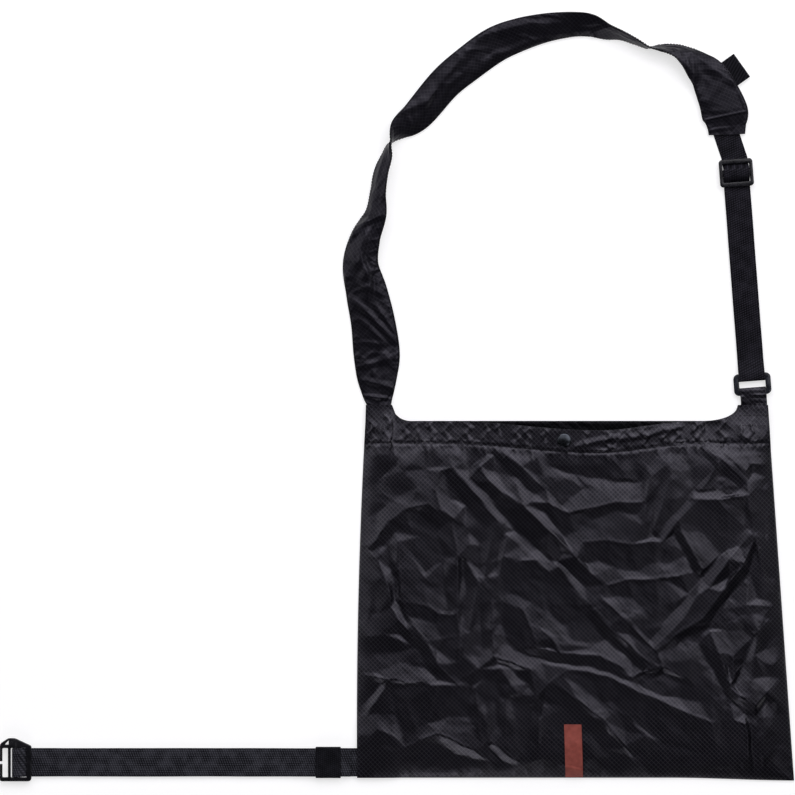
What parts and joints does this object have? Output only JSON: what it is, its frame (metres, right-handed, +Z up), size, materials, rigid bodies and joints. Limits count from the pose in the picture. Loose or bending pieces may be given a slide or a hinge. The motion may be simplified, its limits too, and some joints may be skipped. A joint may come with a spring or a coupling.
{
  "type": "cycling musette bag",
  "caption": "Light flat cloth shoulder bag laid on its back, with a twisted cloth strap, an adjustable webbing end, and a waist strap with a hook buckle.",
  "frame": {"origin": "the middle of the bag's back between its mouth and foot, on the surface it lies on", "axes": "+Z up off the surface that the bag lies on, +Y from the bag's foot to its mouth, +X to the right as seen from above; the waist strap runs out along -X"},
  "size_m": [0.7145, 0.6916, 0.0284],
  "materials": {
    "ripstop": "black ripstop nylon with a soft sheen",
    "webbing": "black woven nylon webbing, matt",
    "nylon": "black moulded nylon, satin",
    "snap": "black lacquered metal, satin",
    "label": "terracotta red woven tape, left bare"
  },
  "bodies": {
    "root": {"front_panel": "ripstop", "back_panel": "ripstop", "front_facing": "ripstop", "back_facing": "ripstop", "shoulder_strap": "ripstop", "ring_loop": "ripstop", "strap_webbing": "webbing", "waist_webbing": "webbing", "waist_keeper": "webbing", "hook_tab": "webbing", "strap_slider": "nylon", "strap_ring": "nylon", "hook_buckle": "nylon", "snap_cap": "snap", "snap_stud": "snap", "snap_socket": "snap", "label": "label"}
  },
  "joints": []
}
